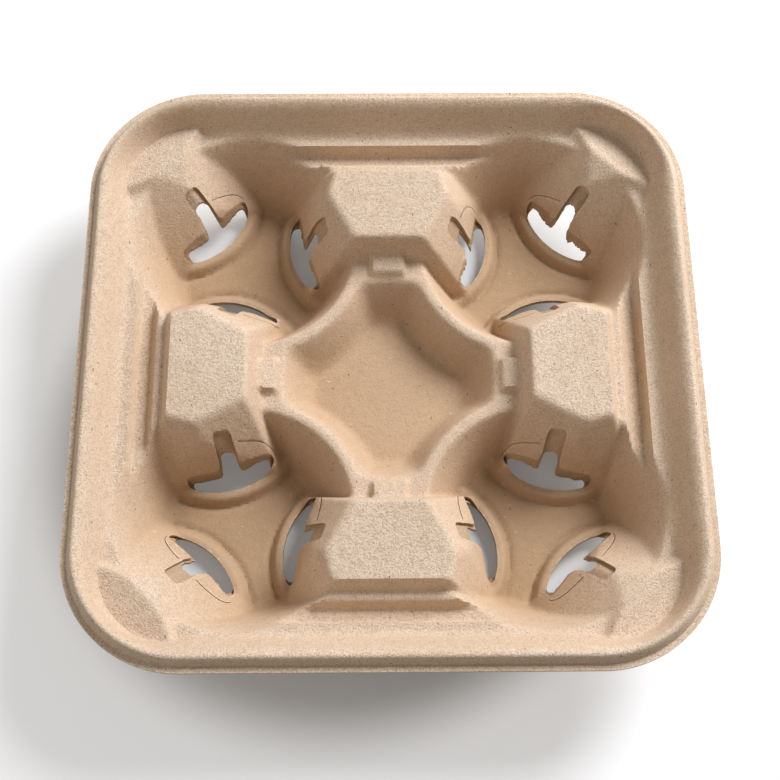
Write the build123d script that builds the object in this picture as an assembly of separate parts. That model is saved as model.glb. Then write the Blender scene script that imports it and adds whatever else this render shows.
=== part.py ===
from build123d import *
import os
from math import atan, cos, degrees, radians, sin, tan

# A moulded-fibre cup carrier: one sheet of pressed pulp, drawn down into four
# cup wells and a centre recess. Millimetres, +Z up. The origin is the centre
# of the underside, which is the face that the carrier rests on.

# Overall sizes
half_width = 108.0          # centre to the outer edge of the rim flange
corner_radius = 40.5        # plan radius of the flange's corners
flange_level = 39.0         # height of the flange's upper face
sheet = 2.0                 # thickness of the pulp sheet
flange_sheet = 1.6          # the flange is pressed thinner

# Rim: a flange, a rolled crest and a sloping inner wall
flange_width = 1.8
crest_width = 4.5           # flange to the crest's inner edge
crest_rise = 4.0            # crest above the flange
crest_draft = 12.0          # lean of the crest's outer face
crest_round = 1.6
rim_wall_run = 7.2          # crest's inner edge to the wall's foot, in plan

# Drops are measured down from the flange
ledge_drop = 8.3
groove_drop = 14.0
step_drop = 9.5
block_drop = 4.0
ridge_drop = 16.0           # saddle between a well and the recess
pad_drop = 4.7
nub_drop = 12.6
recess_drop = 31.0

# Stiffening steps along each side, from the rim wall in to the block
ledge_width = 4.3
groove_width = 7.5          # at the ledge's level
groove_outer_lean = 8.0     # leans are degrees from upright
groove_inner_lean = 22.0
step_width = 3.6

# Divider block in the middle of each side
block_length = 27.8         # top face, along the radius
block_outer_lean = 17.0
block_inner_lean = 19.0

# Cup wells
well_gap = 1.0              # rim wall's foot to the bowl's edge
bowl_radius = 42.5          # at the ledge's level
bowl_floor_radius = 28.0
tab_spread = 120.0          # angle between a well's three tabs

# Lip and slot at the foot of each tab, measured from the well's centre
lip_radius = 27.8           # plan radius of the slot's front edge
lip_reach = 14.7            # to the middle of that edge
lip_band = 1.2              # flat band in front of the slot
lip_rise = 3.4              # lip above the well floor
lip_run = 3.2               # its slope, in plan
slot_back = 22.0            # to the back of the slot's arms
slot_half_length = 15.5
stem_width = 6.0
stem_end = 28.6             # to the end of the stem
corner_stem_end = 31.5

# Faces of a block's flank: where each passes, how far out along the block and
# how far in from the well's centre, the way it looks, and how steep it is
outer_flank_along = 26.4    # at the block's top
outer_flank_across = 31.6
outer_flank_heading = 75.3
outer_flank_slope = 60.0
inner_flank_along = -1.4    # at the block's top
inner_flank_across = 38.5
inner_flank_heading = 118.0
inner_flank_slope = 55.0
tab_along = 10.0            # at tab_drop
tab_across = 19.7
tab_heading = 98.4
tab_slope = 71.0
tab_drop = 26.5

# Corner pad
pad_edge = 43.9             # well's centre to the pad's inner edge
pad_half_edge = 6.2
pad_fall = 12.0             # slope of the pad, outwards
shoulder_fall = 31.0        # slope from the pad's edge to the slot
pad_flank_heading = 24.3    # each flank looks this far off the diagonal
pad_flank_slope = 47.0
corner_tab_reach = 21.5     # well's centre to the tab's face, at tab_drop
corner_tab_slope = 66.0

# Centre recess
recess_land = 7.4           # block's inner foot to the recess
recess_end_lean = 32.0
recess_side_gap = 3.9       # bowl's edge to the recess across the saddle
recess_side_lean = 27.0

# Nub at the inner foot of each block
nub_width = 11.0
nub_length = 6.0
nub_fall = 12.0
nub_draft = 14.0

# Derived levels
crest_level = flange_level + crest_rise
ledge_level = flange_level - ledge_drop
groove_level = flange_level - groove_drop
step_level = flange_level - step_drop
block_level = flange_level - block_drop
ridge_level = flange_level - ridge_drop
pad_level = flange_level - pad_drop
nub_level = flange_level - nub_drop
recess_level = flange_level - recess_drop
floor_level = sheet

# Derived places, from the rim inwards
crest_outer = half_width - flange_width
crest_inner = crest_outer - crest_width
rim_foot = crest_inner - rim_wall_run
rim_lean = degrees(atan(rim_wall_run / (crest_level - ledge_level)))
ledge_inner = rim_foot - ledge_width
groove_inner = ledge_inner - groove_width
step_inner = groove_inner - step_width
block_outer = step_inner - (step_drop - block_drop) * tan(radians(block_outer_lean))
block_inner = block_outer - block_length
block_foot = block_inner - (ridge_drop - block_drop) * tan(radians(block_inner_lean))
well_offset = rim_foot - bowl_radius - well_gap
bowl_run = (bowl_radius - bowl_floor_radius) / (ledge_level - floor_level)
bowl_lean = degrees(atan(bowl_run))
saddle_radius = bowl_floor_radius + bowl_run * (ridge_level - floor_level)
recess_radius = block_foot - recess_land
lip_centre = lip_reach + lip_radius
side_tab_heading = 45 + tab_spread
big = 5 * half_width


def facet(x, y, z, heading, slope):
    """A flat face through a point: where it looks in plan, and how steep it is."""
    tilt = radians(slope)
    turn = radians(heading)
    normal = (sin(tilt) * cos(turn), sin(tilt) * sin(turn), cos(tilt))
    return Plane(origin=(x, y, z), z_dir=normal)


def faceted(facets, grow):
    """The solid behind a set of flat faces, each moved outwards by grow."""
    body = Box(big, big, big)
    for face in facets:
        body = split(body, bisect_by=face.offset(grow), keep=Keep.BOTTOM)
    return body


def in_well(along, across, heading):
    """A plan point from the first well's centre, along and across a heading."""
    turn = radians(heading)
    x = well_offset + along * cos(turn) - across * sin(turn)
    y = well_offset + along * sin(turn) + across * cos(turn)
    return x, y


def rounded_slab(half, radius, low, high, taper=0.0):
    """A rounded square prism, narrowing upwards by the taper."""
    outline = Plane.XY.offset(low) * RectangleRounded(2 * half, 2 * half, radius)
    return extrude(outline, amount=high - low, taper=taper)


def cone_at(x, y, radius, level, lean, low, high):
    """A cone of the given radius at one level, widening upwards by its lean."""
    spread = tan(radians(lean))
    bottom = radius + (low - level) * spread
    top = radius + (high - level) * spread
    upright = (Align.CENTER, Align.CENTER, Align.MIN)
    return Pos(x, y, low) * Cone(bottom, top, high - low, align=upright)


def quarter_turns(piece):
    return [Rot(0, 0, 90 * turn) * piece for turn in range(4)]


# Every form below is made twice: with skin 0 it bounds the sheet's upper
# face, and with skin equal to the sheet it bounds the underside. Hollows
# grow by the skin and raised forms shrink by it, so the wall stays even.


def rim_block(skin):
    """The whole plan up to the flange, with the crest standing on it."""
    draft = radians(crest_draft)
    half = crest_outer - skin / cos(draft)
    radius = corner_radius - (half_width - half)
    if skin:
        top = flange_level - flange_sheet
        base = rounded_slab(half_width + 1, corner_radius + 1, -2 * sheet, top)
    else:
        top = flange_level
        base = rounded_slab(half_width, corner_radius, -sheet, top)
    return base + rounded_slab(half, radius, top - 1, crest_level - skin, crest_draft)


def rim_cavity(skin):
    """The space inside the rim's wall, down to the ledge."""
    lean = radians(rim_lean)
    half = rim_foot - skin * tan(lean) + skin / cos(lean)
    radius = corner_radius - (half_width - half)
    return rounded_slab(half, radius, ledge_level - skin, crest_level + 1, -rim_lean)


def groove(skin):
    """One side's groove; its ends open into the two wells beside it."""
    walls = [
        facet(0, 0, groove_level, 0, 180),
        facet(ledge_inner, 0, ledge_level, 0, 90 + groove_outer_lean),
        facet(groove_inner, 0, step_level, 180, 90 + groove_inner_lean),
        facet(0, 0, crest_level, 0, 0),
        facet(0, well_offset, 0, 90, 90),
        facet(0, -well_offset, 0, 270, 90),
    ]
    return faceted(walls, skin)


def step(skin):
    """The low step between the groove and the block."""
    middle = (ledge_inner + groove_inner) / 2
    walls = [
        facet(0, 0, step_level, 0, 180),
        facet(middle - skin, 0, 0, 0, 90),
        facet(block_outer - 2 * skin, 0, 0, 180, 90),
        facet(0, 0, crest_level, 0, 0),
        facet(0, well_offset, 0, 90, 90),
        facet(0, -well_offset, 0, 270, 90),
    ]
    return faceted(walls, skin)


def saddle_cut(skin):
    """Lowers the middle to the saddles between the wells and the recess."""
    reach = block_inner + block_length / 2
    walls = [facet(0, 0, ridge_level, 0, 180), facet(0, 0, crest_level, 0, 0)]
    for heading in (0, 90, 180, 270):
        turn = radians(heading)
        walls.append(facet(reach * cos(turn), reach * sin(turn), 0, heading, 90))
    return faceted(walls, skin)


def bowl(skin):
    """One cup well, before its tabs are set into it."""
    radius = bowl_radius + skin / cos(radians(bowl_lean))
    low = floor_level - skin
    return cone_at(well_offset, well_offset, radius, ledge_level, bowl_lean, low, crest_level + 1)


def recess(skin):
    """The centre recess: a round bowl that the four wells bite into."""
    low = recess_level - skin
    high = ridge_level + 1
    radius = recess_radius + skin / cos(radians(recess_end_lean))
    hollow = cone_at(0, 0, radius, ridge_level, recess_end_lean, low, high)
    side = saddle_radius + recess_side_gap - skin / cos(radians(recess_side_lean))
    bite = cone_at(well_offset, well_offset, side, ridge_level, -recess_side_lean, low - 1, high + 1)
    for piece in quarter_turns(bite):
        hollow -= piece
    return hollow


def block(skin):
    """One divider block; its faceted flanks are the tabs of two wells."""
    flanks = [
        (outer_flank_along, outer_flank_across, block_level, outer_flank_heading, outer_flank_slope),
        (inner_flank_along, inner_flank_across, block_level, inner_flank_heading, inner_flank_slope),
        (tab_along, tab_across, flange_level - tab_drop, tab_heading, tab_slope),
    ]
    faces = [
        facet(0, 0, block_level, 0, 0),
        facet(block_outer, 0, block_level, 0, 90 - block_outer_lean),
        facet(block_inner, 0, block_level, 180, 90 - block_inner_lean),
        facet(0, 0, -2 * sheet, 0, 180),
    ]
    for along, across, level, heading, slope in flanks:
        x, y = well_offset + along, well_offset - across
        faces.append(facet(x, y, level, heading, slope))
        faces.append(facet(x, -y, level, -heading, slope))
    return faceted(faces, -skin)


def nub(skin):
    """The small stop at the inner foot of a block."""
    tip = block_foot - nub_length
    faces = [
        facet(block_foot, 0, nub_level, 180, nub_fall),
        facet(tip, 0, ridge_level, 180, 90 - nub_draft),
        facet(0, nub_width / 2, nub_level, 90, 90 - nub_draft),
        facet(0, -nub_width / 2, nub_level, 270, 90 - nub_draft),
        facet(block_inner + 2 * sheet, 0, 0, 0, 90),
        facet(0, 0, recess_level, 0, 180),
    ]
    return faceted(faces, -skin)


def corner_pad(skin):
    """The pad in the outer corner of a well, and the tab below it."""
    edge = in_well(pad_edge, 0, 45)
    faces = [
        facet(*edge, pad_level, 45, pad_fall),
        facet(*edge, pad_level, 225, shoulder_fall),
        facet(*in_well(corner_tab_reach, 0, 45), flange_level - tab_drop, 225, corner_tab_slope),
        facet(crest_inner, 0, 0, 0, 90),
        facet(0, crest_inner, 0, 90, 90),
        facet(0, 0, -2 * sheet, 0, 180),
    ]
    for side in (-1, 1):
        corner = in_well(pad_edge, side * pad_half_edge, 45)
        heading = 225 - side * pad_flank_heading
        faces.append(facet(*corner, pad_level, heading, pad_flank_slope))
    return faceted(faces, -skin)


def lip(heading, skin):
    """The raised band round a tab's foot, in front of its slot."""
    x, y = in_well(lip_centre, 0, heading)
    lean = atan(lip_run / lip_rise)
    radius = lip_radius + lip_band + lip_run - skin / cos(lean)
    high = floor_level + lip_rise - skin
    return cone_at(x, y, radius, floor_level, -degrees(lean), -2 * sheet, high)


def slot(heading, end):
    """The T-shaped opening punched through a tab and its foot."""
    x, y = in_well(lip_centre, 0, heading)
    arms = Pos(x, y) * Circle(lip_radius)
    middle = in_well((lip_reach + slot_back) / 2, 0, heading)
    window = Pos(*middle) * Rot(0, 0, heading) * Rectangle(slot_back - lip_reach, 2 * slot_half_length)
    arms = arms & window
    stem_length = end - stem_width / 2 - slot_back + 1
    middle = in_well(slot_back - 1 + stem_length / 2, 0, heading)
    stem = Pos(*middle) * Rot(0, 0, heading) * Rectangle(stem_length, stem_width)
    tip = Pos(*in_well(end - stem_width / 2, 0, heading)) * Circle(stem_width / 2)
    return extrude(Plane.XY.offset(-1) * (arms + stem + tip), amount=ledge_level)


def formed(skin):
    """Everything below one face of the sheet."""
    body = rim_block(skin) - rim_cavity(skin)
    if not skin:
        body = fillet(body.edges().group_by(Axis.Z)[-1], crest_round)
    for hollow in (groove(skin), step(skin), bowl(skin)):
        for piece in quarter_turns(hollow):
            body -= piece
    body -= saddle_cut(skin)
    body -= recess(skin)
    raised = [block(skin), nub(skin), corner_pad(skin)]
    for heading in (45, side_tab_heading, -side_tab_heading + 90):
        raised.append(lip(heading, skin))
    for form in raised:
        for piece in quarter_turns(form):
            body += piece
    if not skin:
        body = body & rounded_slab(half_width, corner_radius, -sheet, crest_level + 1)
    return body


tray = formed(0) - formed(sheet)
tab_slots = [
    slot(45, corner_stem_end),
    slot(side_tab_heading, stem_end),
    slot(90 - side_tab_heading, stem_end),
]
for opening in tab_slots:
    for piece in quarter_turns(opening):
        tray -= piece

os.makedirs("parts", exist_ok=True)
export_step(tray, "parts/carrier_tray.step")
print(f"solids {len(tray.solids())}, volume {tray.volume / 1000:.1f} cm3")
print(f"size {tray.bounding_box().size}, well offset {well_offset:.1f}")
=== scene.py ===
import math
import random

import bmesh
import bpy
import numpy as np
from mathutils import Matrix, Vector
from mathutils import noise as solid_noise


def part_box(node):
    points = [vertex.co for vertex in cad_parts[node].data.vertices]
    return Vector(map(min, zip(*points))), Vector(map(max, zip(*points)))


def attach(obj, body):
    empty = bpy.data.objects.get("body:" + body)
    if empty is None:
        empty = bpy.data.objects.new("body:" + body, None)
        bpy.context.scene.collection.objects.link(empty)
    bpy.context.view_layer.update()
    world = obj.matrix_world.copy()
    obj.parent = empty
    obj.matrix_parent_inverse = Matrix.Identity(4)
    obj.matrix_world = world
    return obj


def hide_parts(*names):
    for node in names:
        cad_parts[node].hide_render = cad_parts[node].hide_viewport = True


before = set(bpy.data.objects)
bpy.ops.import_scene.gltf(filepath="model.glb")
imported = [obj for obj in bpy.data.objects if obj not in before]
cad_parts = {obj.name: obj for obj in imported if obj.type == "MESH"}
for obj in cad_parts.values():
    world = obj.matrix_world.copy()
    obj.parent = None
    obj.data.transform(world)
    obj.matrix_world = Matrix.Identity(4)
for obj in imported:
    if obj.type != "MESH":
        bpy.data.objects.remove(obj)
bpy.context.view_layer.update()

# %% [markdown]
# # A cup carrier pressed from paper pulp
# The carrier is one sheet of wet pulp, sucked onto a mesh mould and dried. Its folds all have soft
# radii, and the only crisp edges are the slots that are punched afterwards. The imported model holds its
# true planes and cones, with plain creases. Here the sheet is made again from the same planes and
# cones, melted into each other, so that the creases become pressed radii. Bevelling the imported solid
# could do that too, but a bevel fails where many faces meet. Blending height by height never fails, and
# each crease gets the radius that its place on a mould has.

MM = 0.001
solid_noise.seed_set(11)
low_corner, high_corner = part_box("carrier_tray")
half_width = (high_corner[0] - low_corner[0]) / 2 / MM
height = (high_corner[2] - low_corner[2]) / MM
print(f"tray: {2 * half_width:.1f} mm across, {height:.1f} mm high")

# %% [markdown]
# ## The measures of the pressing
# The sheet is two millimetres thick. All the levels are drops from the flange, because the flange is
# what a pulp mould is trimmed to. Plan sizes are millimetres from the middle of the tray, or from the
# middle of a cup well. They run inwards from the rim: flange, crest, rim wall, ledge, groove and step.

# %% The levels
sheet, flange_sheet = 2.0, 1.6
crest_rise = 4.0
flange = height - crest_rise
crest_top = flange + crest_rise
block_top = flange - 4.0
pad_top = flange - 4.7
ledge = flange - 8.3
step_top = flange - 9.5
nub_top = flange - 12.6
groove_floor = flange - 14.0
saddle = flange - 16.0
tab_level = flange - 26.5
recess_floor = flange - 31.0
well_floor = sheet
print(f"flange {flange:.1f} mm up, wells {flange - well_floor:.0f} mm deep below it")

# %% The plan sizes
corner_radius = 40.5
flange_width = 1.8
crest_outer = half_width - flange_width
crest_inner = crest_outer - 4.5
rim_foot = crest_inner - 7.2
ledge_inner = rim_foot - 4.3
groove_inner = ledge_inner - 7.5
step_inner = groove_inner - 3.6
bowl_radius, bowl_floor_radius = 42.5, 28.0
well = rim_foot - bowl_radius - 1.0
bowl_rise = (ledge - well_floor) / (bowl_radius - bowl_floor_radius)
wall_rise = (crest_top - ledge) / (crest_inner - rim_foot)
print(f"wells stand {well:.1f} mm off the middle each way, {2 * bowl_radius:.0f} mm across")

# %% [markdown]
# ## How two faces melt together
# A pressed sheet seen from above has one height at each place, so the whole tray is a height over a
# plan. Taking the lower of two heights makes a ridge, and the higher makes a valley. Plain minimum and
# maximum would leave a crease, so these soft ones round it over a depth that is given.


# %% The two soft joins
def lower_of(a, b, melt):
    """The lower of two heights, with the ridge between them rounded off."""
    near = np.maximum(melt - np.abs(a - b), 0) / melt
    return np.minimum(a, b) - near * near * melt / 4


def upper_of(a, b, melt):
    """The higher of two heights, with the valley between them filled."""
    return -lower_of(-a, -b, melt)


def raised(faces, melt):
    """One lump: the lowest of its faces."""
    body = faces[0]
    for face in faces[1:]:
        body = lower_of(body, face, melt)
    return body


def hollow(faces, melt):
    """One hollow: the highest of its faces."""
    body = faces[0]
    for face in faces[1:]:
        body = upper_of(body, face, melt)
    return body


crease = np.array([10.0])
print(f"a melt of 2 mm takes {(crease - lower_of(crease, crease, 2.0))[0]:.1f} mm off a ridge")

# %% [markdown]
# ## Planes, cones and the rim's own wall
# A slanting face is a plane's height, a well's wall is a cone's, and the rim's wall follows a square
# with round corners. The underside is the same set of faces moved in by the sheet's thickness. That is
# measured square to each face, which is why each one works out its own steepness.


# %% The faces
def rim_reach(x, y):
    """How far out a plan point is, along loops that keep the rim's rounded corners."""
    straight = half_width - corner_radius
    round_part = np.hypot(np.maximum(x - straight, 0), np.maximum(y - straight, 0))
    return straight + round_part + np.minimum(np.maximum(x, y) - straight, 0)


class Pressing:
    """Heights over the plan, for the upper face (skin 0) or the underside (skin = sheet)."""

    def __init__(self, x, y, skin):
        self.x, self.y, self.skin = x, y, skin

    def flat(self, level):
        return np.full_like(self.x, level - self.skin)

    def plane(self, x, y, level, heading, slope):
        """A face through a point, looking along a heading, and this steep."""
        turn, fall = math.radians(heading), math.tan(math.radians(slope))
        along = (self.x - x) * math.cos(turn) + (self.y - y) * math.sin(turn)
        return level - fall * along - self.skin * math.hypot(1, fall)

    def cone(self, x, y, radius, level, rise):
        """A round wall that has a radius at a level, and climbs outwards by rise."""
        out = np.hypot(self.x - x, self.y - y) - radius
        return level + rise * out - self.skin * math.hypot(1, rise)

    def rim_wall(self, place, level, rise):
        """A wall that follows the rounded square of the rim."""
        reach = rim_reach(self.x, self.y)
        return level + rise * (reach - place) - self.skin * np.hypot(1, rise)


def steep(lean):
    """How fast a wall climbs when it leans this many degrees off upright."""
    return 1 / math.tan(math.radians(lean))


def from_well(along, across, heading):
    """A plan point measured from the first well's middle, along and across a heading."""
    turn = math.radians(heading)
    x = well + along * math.cos(turn) - across * math.sin(turn)
    y = well + along * math.sin(turn) + across * math.cos(turn)
    return x, y


corner_reach = rim_reach(np.array([half_width]), np.array([half_width]))[0]
print(f"a square corner would reach {corner_reach - half_width:.1f} mm past the rim's round one")

# %% [markdown]
# ## The divider blocks and their nubs
# A block stands between two wells. It is the lowest of a few faces, so it is a faceted lump with melted
# edges: a flat top, two end walls, and three faces on each flank. The last of the three is the tab that
# presses on the cup. The nub is a small stop at the block's foot, on the saddle beside the recess.

# %% The blocks and nubs
BLOCK_MELT, NUB_MELT = 2.4, 1.6
# slopes of the faces, in degrees
OUTER_END, INNER_END = 73, 71
NUB_FALL, NUB_SIDE, NUB_BACK = 12, 72, 80
block_length = 27.8
block_outer = step_inner - (block_top - step_top) / math.tan(math.radians(OUTER_END))
block_inner = block_outer - block_length
nub_foot = block_inner - (block_top - saddle) / math.tan(math.radians(INNER_END))
nub_length, nub_half, nub_tail = 6.0, 5.5, 5.0
# a plan point off the well's middle, a level, a heading and a slope, for each face of a flank
FLANK = [
    (26.4, -31.6, block_top, 75.3, 60),
    (-1.4, -38.5, block_top, 118, 55),
    (10.0, -19.7, tab_level, 98.4, 71),
]


def block_form(p):
    faces = [
        p.flat(block_top),
        p.plane(block_outer, 0, block_top, 0, OUTER_END),
        p.plane(block_inner, 0, block_top, 180, INNER_END),
    ]
    for side in (1, -1):
        for x, y, level, heading, slope in FLANK:
            faces.append(p.plane(well + x, side * (well + y), level, side * heading, slope))
    return raised(faces, BLOCK_MELT)


def nub_form(p):
    faces = [
        p.plane(nub_foot, 0, nub_top, 180, NUB_FALL),
        p.plane(nub_foot - nub_length, 0, saddle, 180, NUB_SIDE),
        p.plane(0, nub_half, nub_top, 90, NUB_SIDE),
        p.plane(0, -nub_half, nub_top, 270, NUB_SIDE),
        p.plane(nub_foot + nub_tail, 0, nub_top, 0, NUB_BACK),
    ]
    return raised(faces, NUB_MELT)


print(f"block tops {block_inner:.1f} to {block_outer:.1f} mm off the middle, {len(FLANK)} faces a flank")

# %% [markdown]
# ## The corner pads and the lips
# A corner pad is a flat that falls outwards to the rim, and carries the outer tab of its well. A lip is
# a low round band in front of each tab, which stiffens the edge that the slot leaves. The mould presses
# a shallow crease round the lip's foot.

# %% The pads and lips
PAD_MELT, LIP_MELT = 0.7, 1.2
TAB_HEADINGS = (45, 165, 285)
# slopes of the pad's faces, in degrees, and how far its side faces turn from the middle one
PAD_FALL, PAD_INNER, PAD_TAB, PAD_SIDE, PAD_TURN = 12, 31, 66, 47, 24.3
pad_edge, pad_half, pad_tab = 42.6, 7.6, 21.5
LIP_RADIUS = 27.8
LIP_CENTRE = 14.7 + LIP_RADIUS
lip_height, lip_foot, lip_run = 3.4, 4.4, 2.2
crease_depth, crease_width, crease_gap = 0.7, 1.1, 0.4


def pad_form(p):
    edge = from_well(pad_edge, 0, 45)
    faces = [
        p.plane(*edge, pad_top, 45, PAD_FALL),
        p.plane(*edge, pad_top, 225, PAD_INNER),
        p.plane(*from_well(pad_tab, 0, 45), tab_level, 225, PAD_TAB),
    ]
    for side in (-1, 1):
        corner = from_well(pad_edge, side * pad_half, 45)
        faces.append(p.plane(*corner, pad_top, 225 - side * PAD_TURN, PAD_SIDE))
    return raised(faces, PAD_MELT)


def lip_form(p, heading):
    x, y = from_well(LIP_CENTRE, 0, heading)
    band = p.cone(x, y, LIP_RADIUS + lip_foot, well_floor, -lip_height / lip_run)
    return lower_of(p.flat(well_floor + lip_height), band, LIP_MELT)


def lip_crease(p, heading):
    """How deep the crease round a lip's foot is at each place."""
    x, y = from_well(LIP_CENTRE, 0, heading)
    off = np.hypot(p.x - x, p.y - y) - (LIP_RADIUS + lip_foot + crease_gap)
    inside_well = np.hypot(p.x - well, p.y - well) < bowl_floor_radius
    return np.where(inside_well, crease_depth * np.exp(-((off / crease_width) ** 2)), 0.0)


print(f"lips {lip_height} mm high, in front of {4 * len(TAB_HEADINGS)} tabs")

# %% [markdown]
# ## The rim and the hollows
# The rim wall climbs from the ledge to the crest, and is steeper beside the corner pads, where it is
# short. The crest rolls over to the flange. The groove and the step lie behind each block only, so
# elsewhere they are put far above, where the lower of two heights ignores them. The centre recess is a
# round pit that the four wells push in from the corners.

# %% The rim and the hollows
FAR_ABOVE = 99.0
GROOVE_MELT, STEP_MELT, PIT_MELT, BOWL_MELT, ROLL_MELT = 2.0, 1.0, 4.5, 5.0, 10.0
# slopes in degrees, and then leans off upright
GROOVE_OUTER, GROOVE_INNER, RISER = 82, 68, 80
PIT_LEAN, WELL_LEAN, CREST_LEAN = 32, 27, 12
# how far the steeper wall spreads from a corner, moves out there, and how much faster it climbs
CORNER_SPAN, CORNER_SHIFT, CORNER_RISE = 24, 0.5, 1.8
pit_radius = 38.0
saddle_edge = step_inner - 16


def rim_wall(p):
    off_corner = (p.x - p.y) / math.sqrt(2)
    corner_share = np.clip(1 - (off_corner / CORNER_SPAN) ** 2, 0, 1) ** 2
    wall_top = crest_inner + CORNER_SHIFT * corner_share
    return p.rim_wall(wall_top, crest_top, wall_rise + CORNER_RISE * corner_share)


def groove_form(p):
    groove = hollow([
        p.flat(groove_floor),
        p.plane(ledge_inner, 0, ledge, 180, GROOVE_OUTER),
        p.plane(groove_inner, 0, step_top, 0, GROOVE_INNER),
    ], GROOVE_MELT)
    return np.where(p.y < well, groove, FAR_ABOVE)


def step_form(p):
    riser = p.plane((ledge_inner + groove_inner) / 2, 0, step_top, 180, RISER)
    return np.where(p.y < well, upper_of(p.flat(step_top), riser, STEP_MELT), FAR_ABOVE)


def pit_form(p):
    return hollow([
        p.flat(recess_floor),
        p.cone(0, 0, pit_radius, saddle, steep(PIT_LEAN)),
        p.cone(well, well, bowl_radius, saddle, -steep(WELL_LEAN)),
    ], PIT_MELT)


def bowl_form(p):
    return upper_of(p.flat(well_floor), p.cone(well, well, bowl_radius, ledge, bowl_rise), BOWL_MELT)


def crest_form(p):
    outer_face = p.rim_wall(crest_outer, flange, -steep(CREST_LEAN))
    return lower_of(p.flat(crest_top), outer_face, ROLL_MELT)


print(f"rim wall climbs {crest_top - ledge:.1f} mm over {crest_inner - rim_foot:.1f} mm")

# %% [markdown]
# ## The whole height
# The forms are laid on each other in the order of a mould maker: ledge, step, groove, recess, wells,
# then the lumps, and the rim last. The tray is alike in all eight directions, so every point is folded
# into one eighth of the plan first, and the faces of that eighth shape all the others too.


# %% The tray's height at a set of plan points
# how deep each form is melted into what is there already
JOIN = {
    "wall": 3.0, "step": 1.2, "groove": 1.2, "pit": 2.4, "bowl": 1.8,
    "block": 3.0, "nub": 1.6, "pad": 1.2, "lip": 0.5, "crest": 4.0, "flange": 0.7,
}


def tray_height(x, y, skin):
    """The height of one face of the sheet over plan points, in millimetres."""
    far, near = np.maximum(np.abs(x), np.abs(y)), np.minimum(np.abs(x), np.abs(y))
    p = Pressing(far, near, skin)

    base = upper_of(p.flat(ledge), rim_wall(p), JOIN["wall"])
    base = lower_of(base, step_form(p), JOIN["step"])
    base = lower_of(base, groove_form(p), JOIN["groove"])
    base = np.where(far < saddle_edge, np.minimum(base, p.flat(saddle)), base)
    base = lower_of(base, pit_form(p), JOIN["pit"])
    base = lower_of(base, bowl_form(p), JOIN["bowl"])

    base = upper_of(base, block_form(p), JOIN["block"])
    base = upper_of(base, nub_form(p), JOIN["nub"])
    base = upper_of(base, pad_form(p), JOIN["pad"])
    for heading in TAB_HEADINGS:
        base = upper_of(base, lip_form(p, heading), JOIN["lip"]) - lip_crease(p, heading)

    base = lower_of(base, crest_form(p), JOIN["crest"])
    lip_level = flange - (flange_sheet if skin else 0)
    outside = upper_of(base, np.full_like(x, lip_level), JOIN["flange"])
    return np.maximum(np.where(rim_reach(far, near) > crest_inner + 1, outside, base), 0)


middle_level = tray_height(np.array([0.0]), np.array([0.0]), 0.0)[0]
print(f"the recess floor is {middle_level:.1f} mm up")

# %% [markdown]
# ## The sheet
# The sheet is two grids, one for each face, sewn together round the flange. A plain square grid would
# cut the rim's round corners into steps, so the grid's square loops are bent into the rim's rounded
# squares first. Each loop then follows the rim, and they stand closer together near the crest.

# %% The two faces of the sheet
LOOPS_UPPER, LOOPS_UNDER = 126, 75
INSIDE_RIM = 0.83


def bend_to_rim(corners):
    """Turns the square loops of a grid from -1 to 1 into the rim's rounded squares."""
    size = np.abs(corners)
    loop = size.max(axis=1)
    share = np.where(loop > 0, size.min(axis=1) / np.maximum(loop, 1e-9), 0)
    reach = np.interp(loop, [0, INSIDE_RIM, 1], [0, rim_foot, half_width])
    straight = half_width - corner_radius
    bend = np.maximum(reach - straight, 0)
    along = share * np.where(bend > 0, straight + bend * math.pi / 4, reach)
    angle = np.where(bend > 0, np.maximum(along - straight, 0) / np.maximum(bend, 1e-9), 0)
    far = np.where(bend > 0, straight + bend * np.cos(angle), reach)
    near = np.where(along > straight, straight + bend * np.sin(angle), along)
    upright = size[:, 1] > size[:, 0]
    x = np.where(upright, near, far) * np.sign(corners[:, 0])
    y = np.where(upright, far, near) * np.sign(corners[:, 1])
    return x, y


def add_face(bm, loops, skin):
    """One face of the sheet, as a grid lifted to its height."""
    grid = bmesh.ops.create_grid(bm, x_segments=2 * loops, y_segments=2 * loops, size=1.0)
    corners = np.array([vert.co[:2] for vert in grid["verts"]])
    x, y = bend_to_rim(corners)
    z = tray_height(x, y, skin)
    for vert, place in zip(grid["verts"], np.column_stack([x, y, z]) * MM):
        vert.co = place
    if skin:
        bm.faces.ensure_lookup_table()
        bmesh.ops.reverse_faces(bm, faces=bm.faces[-4 * loops * loops:])


sheet_bm = bmesh.new()
add_face(sheet_bm, LOOPS_UPPER, 0.0)
add_face(sheet_bm, LOOPS_UNDER, sheet)
rim_edges = [edge for edge in sheet_bm.edges if edge.is_boundary]
bmesh.ops.bridge_loops(sheet_bm, edges=rim_edges)
still_open = sum(not edge.is_manifold for edge in sheet_bm.edges)
print(f"sheet: {len(sheet_bm.faces)} faces, {still_open} open edges")

# %% [markdown]
# ## The punched slots
# A steel die punches a T through the foot of every tab while the pulp is still a little damp. Its front
# edge comes out crisp, and the back edge and the stem tear, so no two slots are alike. Each T starts as
# a face with a few corners. Its edges are divided, smoothed until the corners are round, and pushed
# about by a seeded wobble. Pulled up into a plug, it is taken out of the sheet by a Boolean.

# %% Helpers that place a part and pull it up
def set_in_place(part, heading, quarter):
    """Moves a part made along and across a tab to its place on the tray."""
    bmesh.ops.rotate(part, verts=part.verts, matrix=Matrix.Rotation(math.radians(heading), 3, "Z"))
    bmesh.ops.translate(part, verts=part.verts, vec=(well, well, 0))
    bmesh.ops.rotate(part, verts=part.verts, matrix=Matrix.Rotation(math.radians(90 * quarter), 3, "Z"))


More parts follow.
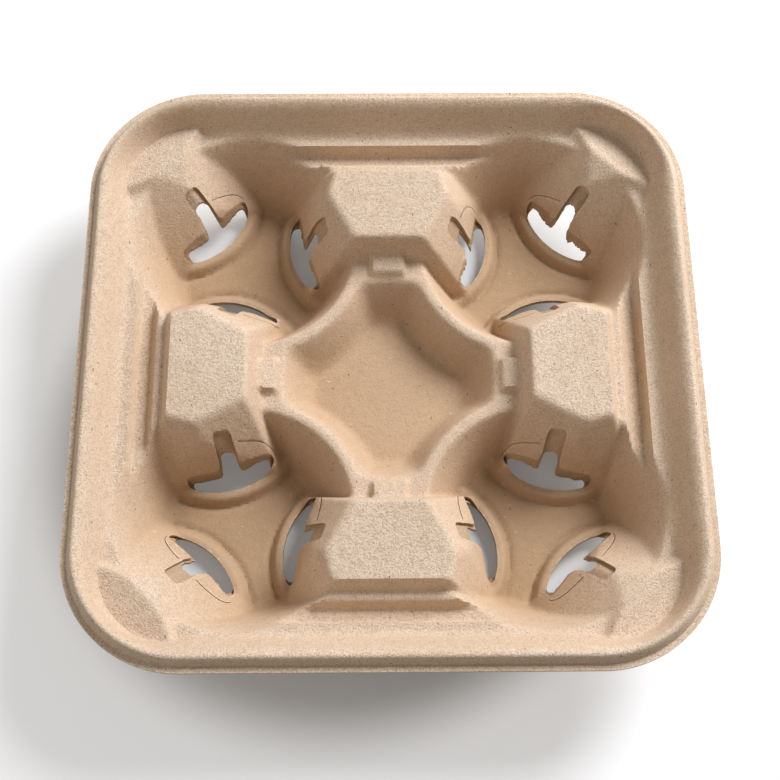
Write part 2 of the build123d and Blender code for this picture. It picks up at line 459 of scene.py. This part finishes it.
def pull_up(part):
    """Extrudes a flat part, and gives the corners that rise."""
    top = bmesh.ops.extrude_face_region(part, geom=part.faces[:])["geom"]
    return [item for item in top if isinstance(item, bmesh.types.BMVert)]


def through_sheet(part):
    """Makes a flat outline tall enough to pass through the sheet over a tab."""
    bmesh.ops.translate(part, verts=pull_up(part), vec=(0, 0, ledge + 1))
    bmesh.ops.translate(part, verts=part.verts, vec=(0, 0, -1))


def add_to(bm, part):
    """Adds a finished part, in metres, to a set of parts."""
    bmesh.ops.scale(part, verts=part.verts, vec=(MM, MM, MM))
    bmesh.ops.recalc_face_normals(part, faces=part.faces)
    shape = bpy.data.meshes.new("part")
    part.to_mesh(shape)
    part.free()
    bm.from_mesh(shape)
    bpy.data.meshes.remove(shape)


print(f"a plug is {ledge + 1:.1f} mm tall and starts 1 mm below the floor")

# %% The plug of one slot
FRONT_STEPS, ROUNDINGS, CUT_LENGTH = 8, 9, 0.5
CRISP, ON_FRONT = 0.06, 0.4
# how fast the torn edge's two wobbles repeat, and how strong they are
COARSE, FINE = (0.5, 1.3), (1.9, 0.9)


def slot_outline(left, right, back, stem, stem_width):
    """The corners of a T-shaped slot, along and across its tab."""
    corners = []
    for number in range(FRONT_STEPS + 1):
        across = -left + (left + right) * number / FRONT_STEPS
        corners.append((LIP_CENTRE - math.sqrt(LIP_RADIUS ** 2 - across ** 2), across))
    half = stem_width / 2
    corners += [(back + 1.0, right + 0.6), (back, half + 0.3), (stem, half)]
    corners += [(stem, -half), (back, -half - 0.3), (back + 1.0, -left - 0.6)]
    return corners


def plug(bm, corners, heading, quarter, tear, seed):
    """One slot's plug: a rounded, torn T, pulled up through the sheet."""
    part = bmesh.new()
    part.faces.new([part.verts.new((along, across, 0)) for along, across in corners])
    for edge in part.edges[:]:
        cuts = max(int(edge.calc_length() / CUT_LENGTH) - 1, 1)
        bmesh.ops.subdivide_edges(part, edges=[edge], cuts=cuts)
    for _ in range(ROUNDINGS):
        bmesh.ops.smooth_vert(part, verts=part.verts, factor=0.5, use_axis_x=True, use_axis_y=True)
    drift = random.Random(seed).uniform(0, 100)
    for vert in part.verts:
        along, across = vert.co.x, vert.co.y
        front = abs(math.hypot(LIP_CENTRE - along, across) - LIP_RADIUS) < ON_FRONT
        coarse = solid_noise.noise_vector(Vector((along * COARSE[0], across * COARSE[0], drift)))
        fine = solid_noise.noise_vector(Vector((along * FINE[0], across * FINE[0], drift + 40)))
        push = (coarse * COARSE[1] + fine * FINE[1]) * (CRISP if front else tear)
        vert.co += Vector((push.x, push.y, 0))
    through_sheet(part)
    set_in_place(part, heading, quarter)
    add_to(bm, part)


print(f"a slot's outline has {FRONT_STEPS + 7} corners before it is rounded")

# %% [markdown]
# ## Dents and hairlines
# The die also presses the sheet in round each slot, and its edge leaves fine curved cuts beside the
# arms. Both only go part of the way through. A cover is the space over one tab, down to a little below
# the sheet's face. What it shares with the wider outline of a slot, and with the hairlines, is the pulp
# that the die pushed away.

# %% The hairlines and covers
# a hairline's points, the angles that it sweeps, and where it starts beside the stem
LINE_POINTS, LINE_FROM, LINE_SWEEP = 15, 8, 74
LINE_START, LINE_TUCK = 2.6, 1.6
COVER_CELLS, COVER_HALF, COVER_MIDDLE = (25, 38), (11.6, 17.0), 24.1


def hairline(bm, side, back, reach, heading, quarter, seed):
    """A fine cut that the die's edge leaves behind one arm of a slot."""
    part = bmesh.new()
    chance = random.Random(seed)
    rise, width = chance.uniform(3.0, 4.2), reach + chance.uniform(0.8, 1.8)
    line = []
    for number in range(LINE_POINTS):
        angle = math.radians(LINE_FROM + LINE_SWEEP * number / (LINE_POINTS - 1))
        across = side * (LINE_START + (width - LINE_START) * math.sin(angle) ** 0.9)
        along = back - LINE_TUCK + (rise + LINE_TUCK) * math.cos(angle) ** 0.55
        line.append(part.verts.new((along, across, 0)))
    edges = [part.edges.new(pair) for pair in zip(line, line[1:])]
    side_way = bmesh.ops.extrude_edge_only(part, edges=edges)["geom"]
    far_side = [item for item in side_way if isinstance(item, bmesh.types.BMVert)]
    bmesh.ops.translate(part, verts=far_side, vec=(0.24, side * 0.16, 0))
    through_sheet(part)
    set_in_place(part, heading, quarter)
    add_to(bm, part)


def cover(bm, heading, quarter, depth):
    """The space over one tab, down to a depth inside the sheet."""
    part = bmesh.new()
    bmesh.ops.create_grid(part, x_segments=COVER_CELLS[0], y_segments=COVER_CELLS[1], size=1.0)
    bmesh.ops.scale(part, verts=part.verts, vec=(*COVER_HALF, 1))
    bmesh.ops.translate(part, verts=part.verts, vec=(COVER_MIDDLE, 0, 0))
    set_in_place(part, heading, quarter)
    plan = np.array([vert.co[:2] for vert in part.verts])
    for vert, level in zip(part.verts, tray_height(plan[:, 0], plan[:, 1], depth)):
        vert.co.z = level
    for vert in pull_up(part):
        vert.co.z = height + 2
    add_to(bm, part)


print(f"a cover is {2 * COVER_HALF[0]:.0f} mm along its tab and {2 * COVER_HALF[1]:.0f} mm across")

# %% [markdown]
# ## All twelve slots
# Each row below is one slot: its well, its tab's heading, the reach of its left and right arm, how far
# out its back edge and its stem's end are, the stem's width, and how much its edges tore.

# %% The twelve slots
SLOTS = [
    (0, 45, 13.6, 14.0, 20.8, 27.0, 5.0, 0.40),
    (0, 165, 13.6, 13.2, 20.4, 25.4, 5.6, 0.40),
    (0, 285, 13.4, 14.0, 20.6, 24.8, 5.2, 0.30),
    (1, 45, 14.2, 13.8, 21.0, 28.4, 5.4, 0.16),
    (1, 165, 14.0, 13.6, 20.6, 24.6, 5.4, 0.26),
    (1, 285, 14.2, 13.8, 20.6, 25.6, 5.6, 0.36),
    (2, 45, 13.8, 13.0, 20.4, 26.4, 6.0, 0.46),
    (2, 165, 14.2, 13.6, 20.6, 25.0, 5.8, 0.38),
    (2, 285, 13.6, 14.2, 20.6, 25.0, 5.4, 0.22),
    (3, 45, 13.8, 14.2, 20.4, 26.2, 5.2, 0.48),
    (3, 165, 14.0, 14.2, 20.6, 24.8, 5.4, 0.26),
    (3, 285, 13.6, 13.6, 20.4, 24.8, 5.8, 0.42),
]
HAIRLINES = [(1,), (-1,), (1, -1), (-1,), (1,), (), (-1, 1), (1,), (-1,), (1, -1), (1,), (-1,)]
DENT_DEPTH, DENT_EDGE, DENT_BACK, DENT_STEM, DENT_TEAR = 1.3, 1.7, 0.6, 0.9, 0.10
LINE_BACK, LINE_REACH = 1.5, 15.5
STEM_END = {45: 32.4, 165: 29.4, 285: 29.4}
PLUG_SEED, DENT_SEED, LINE_SEED = 31, 71, 50

plugs, outlines, covers = bmesh.new(), bmesh.new(), bmesh.new()
for number, (quarter, heading, left, right, back, stem, width, tear) in enumerate(SLOTS):
    plug(plugs, slot_outline(left, right, back, stem, width), heading, quarter, tear, PLUG_SEED + number)
    arms = (left + DENT_EDGE, right + DENT_EDGE)
    dent = slot_outline(*arms, back + DENT_BACK, STEM_END[heading], width + DENT_STEM)
    plug(outlines, dent, heading, quarter, DENT_TEAR, DENT_SEED + number)
    cover(covers, heading, quarter, DENT_DEPTH)
    for side in HAIRLINES[number]:
        seed = LINE_SEED + 7 * number + side
        hairline(outlines, side, back + LINE_BACK, LINE_REACH, heading, quarter, seed)
print(f"{len(SLOTS)} plugs of {len(plugs.faces)} faces, {sum(map(len, HAIRLINES))} hairlines")

# %% [markdown]
# ## Shader maths
# The finish is many small sums, which are hard to read as nodes. One class wraps a socket so that a sum
# is written as a sum. Colours are mixed with Mix nodes, because a Math node would turn them grey.

# %% The class for sums
class Value:
    """A socket that can be added, subtracted and multiplied with numbers or other sockets."""

    def __init__(self, paint, socket):
        self.paint, self.socket = paint, socket

    def _sum(self, operation, *values):
        return self.paint.node("ShaderNodeMath", {"operation": operation}, dict(enumerate(values)))

    def __add__(self, other):
        return self._sum("ADD", self, other)

    def __radd__(self, other):
        return self._sum("ADD", other, self)

    def __sub__(self, other):
        return self._sum("SUBTRACT", self, other)

    def __rsub__(self, other):
        return self._sum("SUBTRACT", other, self)

    def __mul__(self, other):
        return self._sum("MULTIPLY", self, other)

    def __rmul__(self, other):
        return self._sum("MULTIPLY", other, self)

    def clamp(self):
        return self._sum("MINIMUM", self._sum("MAXIMUM", self, 0.0), 1.0)

    def step_up(self, low, high):
        """0 below low, 1 above high, and smooth between."""
        return self.paint.node("ShaderNodeMapRange", {"interpolation_type": "SMOOTHSTEP"},
                               {"Value": self, "From Min": low, "From Max": high})


# %% The class for a finish
class Paint:
    """Makes the nodes of one material."""

    def __init__(self, name):
        self.material = bpy.data.materials.new(name)
        self.material.use_nodes = True
        self.tree = self.material.node_tree
        self.shader = self.tree.nodes["Principled BSDF"]

    def set_socket(self, socket, value):
        if isinstance(value, Value):
            self.tree.links.new(value.socket, socket)
        else:
            socket.default_value = value

    def node(self, kind, settings=None, sockets=None, out=0):
        made = self.tree.nodes.new(kind)
        for name, value in (settings or {}).items():
            setattr(made, name, value)
        for name, value in (sockets or {}).items():
            self.set_socket(made.inputs[name], value)
        return Value(self, made.outputs[out])

    def feed(self, name, value):
        self.set_socket(self.shader.inputs[name], value)

    def mix(self, share, first, second):
        """Two colours, mixed by share."""
        made = self.tree.nodes.new("ShaderNodeMix")
        made.data_type = "RGBA"
        sockets = {socket.identifier: socket for socket in made.inputs}
        for name, value in (("Factor_Float", share), ("A_Color", first), ("B_Color", second)):
            self.set_socket(sockets[name], value)
        return Value(self, next(s for s in made.outputs if s.identifier == "Result_Color"))


def grey(level):
    return (level, level, level, 1.0)


print("a Paint starts from the shader's plain grey,", grey(0.8))

# %% [markdown]
# ## Unbleached pulp
# Unbleached recycled pulp is a warm grey-brown felt. Its colour drifts slowly over the sheet, light and
# dark fibres show in it, and small dark flecks are ground-up bark and print. The upper side is the
# rough one on its flats, where the fibres settled loosely, and the pressed walls are smoother. On top of
# that, light and shade are painted into the colour: it is painted darker the lower it lies, down to the
# wells' floors, and lighter where it faces up high on the tray. Folds get painted shade and ridges a
# painted highlight. Where the sheet is torn open, and in the dents round the slots, it is darker all
# over, partly as torn pulp and partly as painted shade.

# %% The pulp's colours
# the first colour is painted shade for the pulp nearest the floor
LOW_PAINTED_SHADE, BODY = (0.40, 0.255, 0.14, 1), (0.56, 0.375, 0.23, 1)
# painted light: the first colour for pulp high up on the tray, the second for its up-facing tops
HIGH, PAINTED_TOP_LIGHT = (0.73, 0.56, 0.41, 1), (0.82, 0.665, 0.52, 1)
# painted shade for folds, and a painted highlight for ridges
FOLD_PAINTED_SHADE, RIDGE_PAINTED_HIGHLIGHT = (0.34, 0.205, 0.11, 1), (0.86, 0.72, 0.57, 1)
CLOUD, MOTTLE, GRAIN = (0.60, 0.43, 0.285, 1), (0.50, 0.34, 0.21, 1), (0.44, 0.30, 0.18, 1)
FIBRE, CHIP = (0.82, 0.68, 0.52, 1), (0.86, 0.76, 0.62, 1)
# the second colour is torn pulp, darkened further with painted shade for the dents
BARK, TORN_AND_PAINTED_SHADE = (0.16, 0.095, 0.055, 1), (0.30, 0.18, 0.095, 1)
ALL_WAYS, NO_TURN = (1, 1, 1), (0, 0, 0)
print("body colour of the pulp:", BODY[:3])


# %% The pulp
class Pulp(Paint):
    """Pulp on the tray's own coordinates, either felted, or torn open and darkened by painted shade."""

    def __init__(self, name, torn_and_shaded):
        super().__init__(name)
        self.place = self.node("ShaderNodeTexCoord", out=3)
        self.finish(torn_and_shaded)

    def turned(self, stretch, turn):
        """The tray's coordinates, stretched and turned so that a pattern gets a grain."""
        sockets = {"Vector": self.place, "Scale": stretch, "Rotation": turn}
        return self.node("ShaderNodeMapping", {}, sockets)

    def noise(self, scale, rough=0.5, stretch=ALL_WAYS, turn=NO_TURN, bent=0.0):
        sockets = {"Scale": scale, "Detail": 3.0, "Roughness": rough, "Distortion": bent}
        return self.node("ShaderNodeTexNoise", {}, {"Vector": self.turned(stretch, turn), **sockets})

    def flecks(self, scale, size, share, stretch=ALL_WAYS, turn=NO_TURN):
        """Small marks, one in some of the cells of a Voronoi pattern."""
        cells = {"Vector": self.turned(stretch, turn), "Scale": scale}
        near = self.node("ShaderNodeTexVoronoi", {}, cells)
        pick = self.node("ShaderNodeTexVoronoi", {}, cells, out=1)
        chosen = self.node("ShaderNodeSeparateColor", {}, {"Color": pick})
        return (1.0 - near.step_up(size * 0.6, size)) * chosen.step_up(1.0 - share, 1.02 - share)

    def finish(self, torn_and_shaded):
        level = self.node("ShaderNodeSeparateXYZ", {}, {"Vector": self.place}, out=2)
        facing = self.node("ShaderNodeNewGeometry", out=1)
        upward = self.node("ShaderNodeSeparateXYZ", {}, {"Vector": facing}, out=2)
        fold = self.node("ShaderNodeAttribute", {"attribute_name": "fold"}, out=2)
        # painted shade: the colour darkens towards the floor and lightens high up, by these two heights
        off_floor = level.step_up(0.001, 0.011)
        high_up = level.step_up(0.004, 0.036)
        # up-facing tops high on the tray: painted light in the colour, and a coarser bump
        loose_and_lit_top = upward.step_up(0.55, 0.95) * high_up

        drift = self.noise(24.0)
        mottle = self.noise(330.0, 0.6)
        grain = self.noise(1700.0, 0.6)
        fibre_a = self.noise(800.0, 0.5, (1, 0.35, 0.7), (0.2, 0.3, 0.7), 2.5)
        fibre_b = self.noise(800.0, 0.5, (0.35, 1, 0.7), (0.3, -0.2, 0.4), 2.5)
        fibres = (fibre_a.step_up(0.60, 0.72) + fibre_b.step_up(0.60, 0.72)).clamp()
        dark = self.flecks(260.0, 0.10, 0.22) + self.flecks(480.0, 0.16, 0.10, (1, 0.5, 1), (0, 0, 0.8))
        pale = self.flecks(420.0, 0.14, 0.10, (0.4, 1, 1), (0, 0, 0.4))

        layers = [
            # painted shade: darker near the floor and on the wells' floors, lighter high up
            (off_floor, BODY),
            (high_up, HIGH),
            # painted light on the up-facing tops
            (loose_and_lit_top * 0.8, PAINTED_TOP_LIGHT),
            # painted shade in the folds and a painted highlight on the ridges
            (fold.step_up(0.03, 0.30) * 0.6, FOLD_PAINTED_SHADE),
            ((0.0 - fold).step_up(0.04, 0.30) * 0.45, RIDGE_PAINTED_HIGHLIGHT),
            (drift.step_up(0.35, 0.65) * 0.25, CLOUD),
            (mottle.step_up(0.45, 0.7) * 0.24, MOTTLE),
            (grain.step_up(0.42, 0.66) * 0.6, GRAIN),
            (fibres * 0.18, FIBRE),
            (pale.clamp() * 0.35, CHIP),
            (dark.clamp() * 0.75, BARK),
        ]
        # painted shade: the torn finish is darkened all over, for torn pulp and for the shade in the
        # dents
        if torn_and_shaded:
            layers.append((0.42, TORN_AND_PAINTED_SHADE))
        colour = LOW_PAINTED_SHADE
        for share, layer in layers:
            colour = self.mix(share, colour, layer)
        self.feed("Base Color", colour)
        self.feed("Roughness", 0.92)
        relief = mottle * 0.35 + grain * (0.28 + loose_and_lit_top * 0.5) + fibres * 0.12
        bump = {"Height": relief, "Distance": 0.0008, "Strength": 1.0 if torn_and_shaded else 0.9}
        self.feed("Normal", self.node("ShaderNodeBump", {}, bump))


# the second finish is torn pulp darkened with painted shade, for the dents and the cuts
felted, torn = Pulp("pulp_felt", False), Pulp("pulp_torn_shaded", True)
print("finishes:", felted.material.name, "and", torn.material.name)

# %% [markdown]
# ## Punching
# The sheet is dented by the die first and then cut. The dents and the cuts show torn pulp, darkened by
# painted shade where the dents lie deep, so the shapes that make them carry the torn finish, and the
# Boolean hands it to the faces that they leave.

# %% Punching the sheet
def object_from(bm, name, paint=None):
    mesh = bpy.data.meshes.new(name)
    if paint:
        mesh.materials.append(paint.material)
    bm.normal_update()
    bm.to_mesh(mesh)
    bm.free()
    mesh.update()
    thing = bpy.data.objects.new(name, mesh)
    bpy.context.scene.collection.objects.link(thing)
    return thing


def cut(thing, operation, other):
    """Applies a Boolean to a piece and throws the other shape away."""
    step = thing.modifiers.new("cut", "BOOLEAN")
    step.operation, step.solver, step.object = operation, "MANIFOLD", other
    step.material_mode = "TRANSFER"
    bpy.context.view_layer.update()
    depsgraph = bpy.context.evaluated_depsgraph_get()
    result = bpy.data.meshes.new_from_object(thing.evaluated_get(depsgraph))
    thing.modifiers.clear()
    before, thing.data = thing.data, result
    bpy.data.meshes.remove(before)
    bpy.data.objects.remove(other, do_unlink=True)


tray = object_from(sheet_bm, "pulp_tray", felted)
dents = object_from(covers, "dents", torn)
cut(dents, "INTERSECT", object_from(outlines, "outlines", torn))
cut(tray, "DIFFERENCE", dents)
cut(tray, "DIFFERENCE", object_from(plugs, "die", torn))
print("finishes on the tray:", [paint.name for paint in tray.data.materials])

# %% Smooth faces and crisp punched edges
CRISP_ANGLE = math.radians(50)
work = bmesh.new()
work.from_mesh(tray.data)
for face in work.faces:
    face.smooth = True
for edge in work.edges:
    edge.smooth = not (edge.is_manifold and edge.calc_face_angle(0) > CRISP_ANGLE)
triangles = sum(len(face.verts) - 2 for face in work.faces)
open_edges = sum(not edge.is_manifold for edge in work.edges)
work.to_mesh(tray.data)
work.free()
tray.data.name = "pulp_tray"
print(f"tray: {triangles} triangles, {open_edges} open edges")

# %% [markdown]
# ## Where the sheet is folded
# The finish paints shade into the bottom of a fold, and a highlight along a ridge. How far each corner
# of the mesh lies below or above its neighbours says which of the two it is on. That number goes into
# an attribute, so that the painted shade and highlight follow the real shape. A pointiness node would
# do the same only in one renderer.

# %% The folds as an attribute
BLURS = 3


def folds(mesh):
    """For each corner, how deep in a fold it is: above 0 in a valley and below 0 on a ridge."""
    count = len(mesh.vertices)
    places, normals = np.empty(count * 3), np.empty(count * 3)
    mesh.vertices.foreach_get("co", places)
    mesh.vertices.foreach_get("normal", normals)
    places, normals = places.reshape(-1, 3), normals.reshape(-1, 3)
    ends = np.empty(len(mesh.edges) * 2, dtype=np.int32)
    mesh.edges.foreach_get("vertices", ends)
    one, other = ends.reshape(-1, 2).T
    step = places[other] - places[one]
    length = np.maximum(np.linalg.norm(step, axis=1), 1e-5)
    bend = np.zeros(count)
    np.add.at(bend, one, (step * normals[one]).sum(axis=1) / length ** 2)
    np.add.at(bend, other, -(step * normals[other]).sum(axis=1) / length ** 2)
    links = np.maximum(np.bincount(ends, minlength=count), 1)
    bend = np.clip(bend / links * MM, -1, 1)
    for _ in range(BLURS):
        total = np.zeros(count)
        np.add.at(total, one, bend[other])
        np.add.at(total, other, bend[one])
        bend = (bend + total / links) / 2
    return bend


# this attribute drives painted shade in the folds and a painted highlight on the ridges
fold_depth = folds(tray.data)
tray.data.attributes.new("fold", "FLOAT", "POINT").data.foreach_set("value", fold_depth)
print("folds from", round(float(fold_depth.min()), 3), "to", round(float(fold_depth.max()), 3))

# %% [markdown]
# ## Riding on the frame
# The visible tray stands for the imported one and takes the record's pulp finish. Nothing on it moves, so
# it rides on the root body.

# %% The tray on the frame
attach(tray, "root")
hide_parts("carrier_tray")
print("riding on root:", tray.name)

# %% [markdown]
# ## The floor
# The tray stands on a white sweep. A plain white floor would have to be lit until it clipped, which
# would bleach the tray too. Instead the floor is a middle grey that keeps the shadow, and it glows a
# little for the camera only. Under the tray, towards the front left, it glows less. That is a painted
# shadow for the little light that gets in there, so the slots show a dark floor as they do on a real
# table.

# %% The floor
FLOOR_DROP = 0.0002
FLOOR_LIT, FLOOR_SEEN = 0.6, 0.58
# painted shadow: the floor glows less in a round patch under the tray, towards the front left
GLOW, GLOW_IN_PAINTED_SHADOW = 0.44, 0.10
PAINTED_SHADOW_MIDDLE, SHADOW_FROM, SHADOW_TO = (-0.02, -0.02, 0.0), 0.088, 0.116

floor_bm = bmesh.new()
bmesh.ops.create_grid(floor_bm, x_segments=1, y_segments=1, size=3.0)
bmesh.ops.translate(floor_bm, verts=floor_bm.verts, vec=(0, 0, -FLOOR_DROP))
floor = object_from(floor_bm, "floor")
white = Paint("white_floor")
is_camera = white.node("ShaderNodeLightPath")
white.feed("Base Color", white.mix(is_camera, grey(FLOOR_LIT), grey(FLOOR_SEEN)))
white.feed("Roughness", 1.0)
white.feed("Specular IOR Level", 0.0)
place = white.node("ShaderNodeTexCoord", out=3)
# painted shadow: how far the floor lies from the middle of the darker patch under the tray
off_shadow_middle = white.node("ShaderNodeVectorMath", {"operation": "DISTANCE"}, {0: place, 1: PAINTED_SHADOW_MIDDLE}, out=1)
painted_shadow = 1.0 - off_shadow_middle.step_up(SHADOW_FROM, SHADOW_TO)
glow = white.mix(painted_shadow, grey(GLOW), grey(GLOW_IN_PAINTED_SHADOW))
white.feed("Emission Color", white.mix(is_camera, grey(0.0), glow))
white.feed("Emission Strength", 1.0)
floor.data.materials.append(white.material)
print(f"floor: {GLOW} glow, {GLOW_IN_PAINTED_SHADOW} under the tray")

# %% [markdown]
# ## The light
# One large soft lamp stands behind on the right, high enough to light the wells' floors. A weak wide
# lamp on the left opens the shadows of the walls that face it, and a dim warm sky fills the rest.

# %% The lamps and the sky
SKY_COLOUR, SKY_STRENGTH = (1.0, 0.935, 0.865, 1.0), 0.28
scene = bpy.context.scene
world = bpy.data.worlds.new("sky")
scene.world = world
world.use_nodes = True
sky = world.node_tree.nodes["Background"]
sky.inputs["Color"].default_value = SKY_COLOUR
sky.inputs["Strength"].default_value = SKY_STRENGTH


def lamp(name, place, size, power):
    """A round soft lamp that is aimed at the tray."""
    light = bpy.data.lights.new(name, "AREA")
    light.shape, light.size, light.energy = "DISK", size, power
    thing = bpy.data.objects.new(name, light)
    scene.collection.objects.link(thing)
    thing.location = place
    thing.rotation_euler = (-Vector(place)).to_track_quat("-Z", "Y").to_euler()
    return thing


key = lamp("soft_key", (0.76, 0.74, 0.92), 0.62, 26.0)
key.data.color = (0.98, 1.0, 1.05)
lamp("left_fill", (-1.1, -0.1, 0.55), 0.9, 2.4)
print(f"key lamp {key.location.length:.2f} m from the tray")

# %% [markdown]
# ## The camera
# The camera looks steeply down from the front, a little closer than an arm's length, so the near side
# of the tray is wider than the far side. It is placed by its elevation, its distance and the point on
# the flange's level that it looks at, and it is a degree off square, as a hand-held one is.

# %% The camera
scene.view_settings.view_transform = "Standard"


def aimed_camera(elevation, yaw, roll, distance, target, lens):
    """A camera that looks at a point on the flange's level from the front."""
    camera = bpy.data.cameras.new("camera")
    camera.lens, camera.sensor_width = lens, 36.0
    camera.clip_start, camera.clip_end = 0.01, 20.0
    thing = bpy.data.objects.new("camera", camera)
    scene.collection.objects.link(thing)
    rise = math.radians(elevation)
    back = Vector((0, -math.cos(rise), math.sin(rise)))
    place = Vector((target[0], target[1], flange)) + back * distance
    spin = Matrix.Rotation(-math.radians(yaw), 4, "Z")
    tilt = Matrix.Rotation(math.pi / 2 - rise, 4, "X") @ Matrix.Rotation(math.radians(roll), 4, "Z")
    thing.matrix_world = spin @ Matrix.Translation(place * MM) @ tilt
    scene.camera = thing
    return thing


camera = aimed_camera(elevation=68.10, yaw=1.04, roll=0.62, distance=466.0,
                      target=(0.41, -11.97), lens=62.84)
print("camera at", [round(v, 3) for v in camera.matrix_world.translation])
